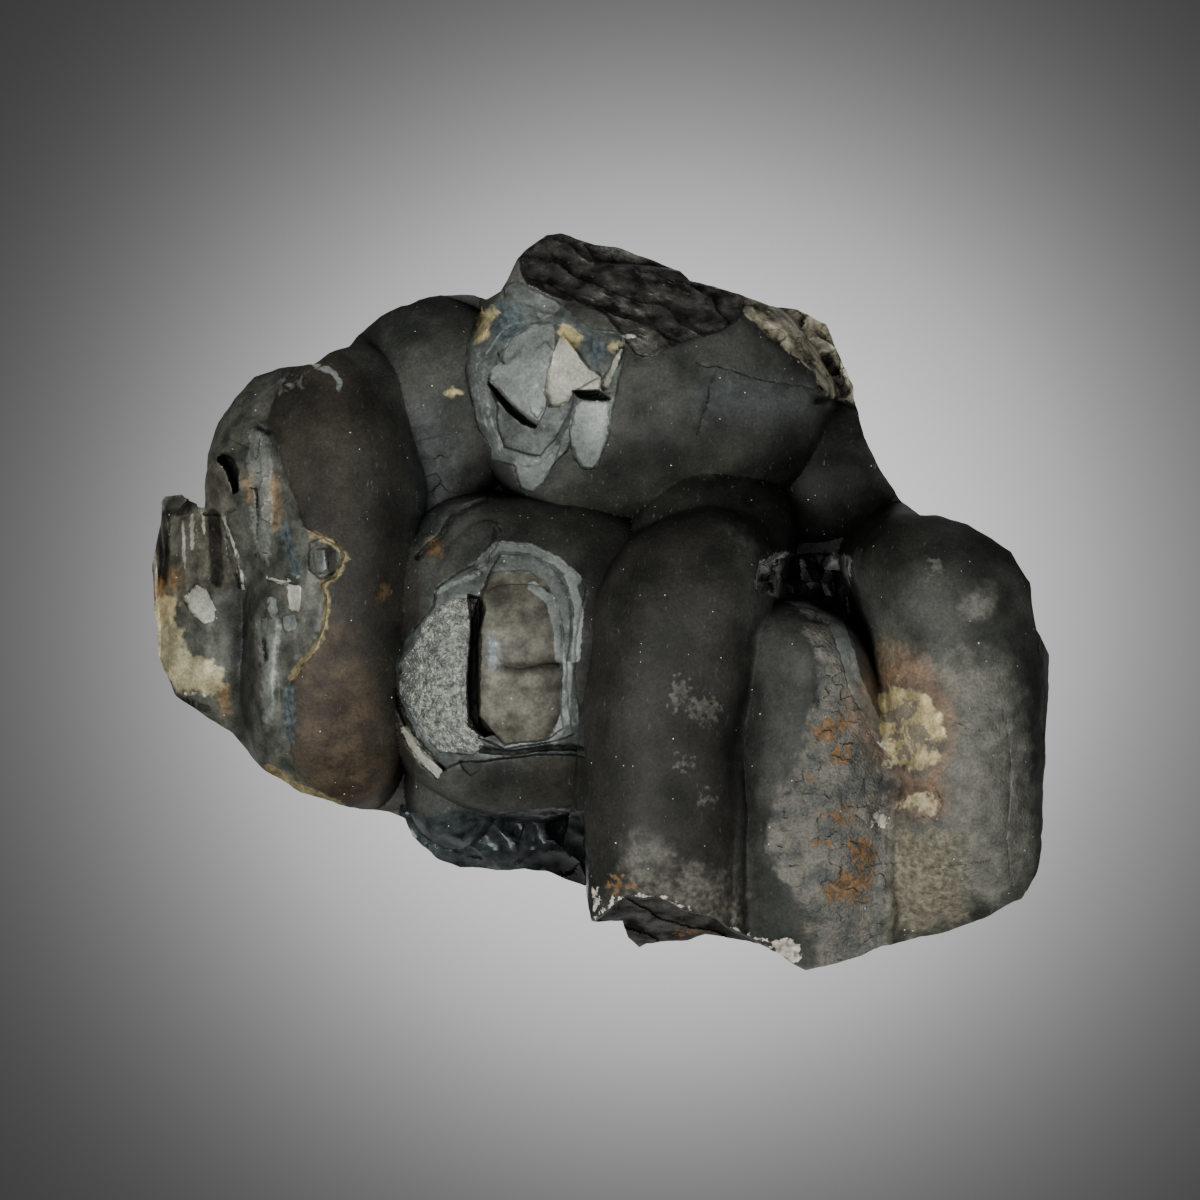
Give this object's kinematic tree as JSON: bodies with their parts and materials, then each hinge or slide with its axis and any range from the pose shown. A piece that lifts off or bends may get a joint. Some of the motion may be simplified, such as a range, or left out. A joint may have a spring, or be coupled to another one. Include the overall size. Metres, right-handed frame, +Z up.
{
  "type": "coronadite mineral specimen",
  "caption": "Loose piece of dark botryoidal manganese ore: rounded finger-like lobes with shell scars on a broken matrix, lying on its flat broken back.",
  "frame": {"origin": "centre of the bounding box in plan, on the surface that the piece lies on", "axes": "+Z up out of the face with the lobes, +X along the longest extent towards the tall thumb-shaped lobes, +Y towards the broken point at the top of the face"},
  "size_m": [0.0888, 0.0728, 0.0401],
  "materials": {
    "coronadite": "submetallic"
  },
  "bodies": {
    "root": {"coronadite": "coronadite"}
  },
  "joints": []
}
